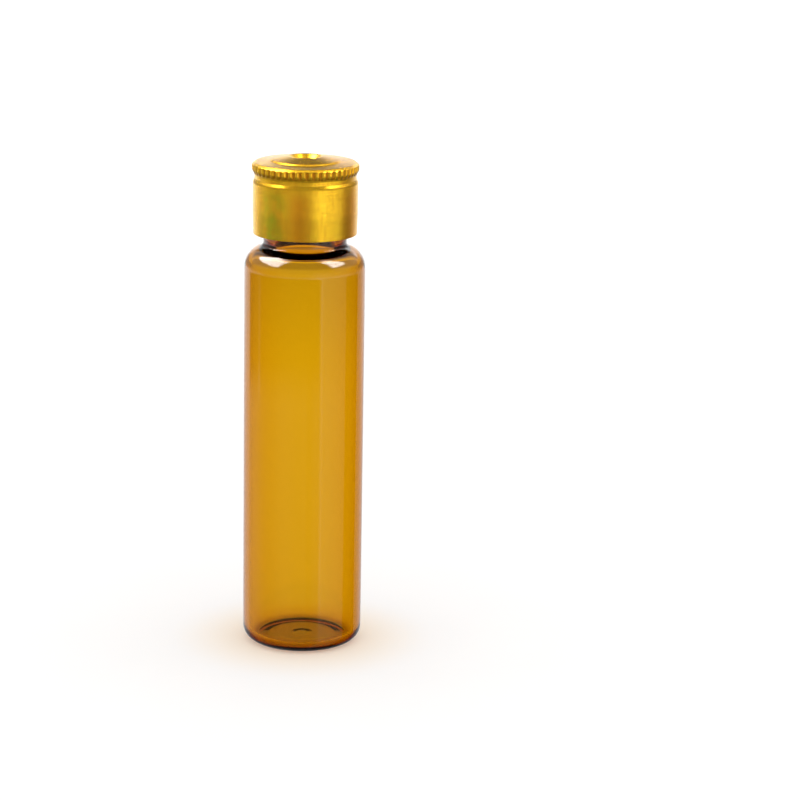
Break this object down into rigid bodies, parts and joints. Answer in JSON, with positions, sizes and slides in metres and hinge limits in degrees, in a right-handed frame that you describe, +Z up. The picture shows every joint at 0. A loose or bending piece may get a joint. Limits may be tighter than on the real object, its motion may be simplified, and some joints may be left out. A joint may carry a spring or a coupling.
{
  "type": "glass sample vial",
  "caption": "Amber tubular glass vial with a rounded shoulder and a knurled gold aluminium cap that lifts off and turns on its gasket.",
  "frame": {"origin": "centre of the base, on the plane the vial stands on", "axes": "+Z up along the vial's axis, from base to cap; the vial is round, so +X and +Y are free"},
  "size_m": [0.018, 0.018, 0.0745],
  "materials": {
    "amber_glass": "clear amber, fire polished",
    "gold_aluminium": "gold anodised, drawn, semi-bright",
    "gasket_rubber": "matt",
    "facing_film": "smooth, translucent white"
  },
  "bodies": {
    "vial": {"glass_vial": "amber_glass"},
    "gasket": {"sealing_gasket": "gasket_rubber", "gasket_facing": "facing_film"},
    "cap": {"cap_shell": "gold_aluminium"}
  },
  "joints": [
    {"name": "cap_lift", "type": "slide", "parent": "vial", "child": "gasket", "axis": [0, 0, 1], "range_m": [0, 0.025]},
    {"name": "cap_turn", "type": "hinge", "parent": "gasket", "child": "cap", "pos_m": [0, 0, 0.07], "axis": [0, 0, 1], "continuous": true}
  ]
}
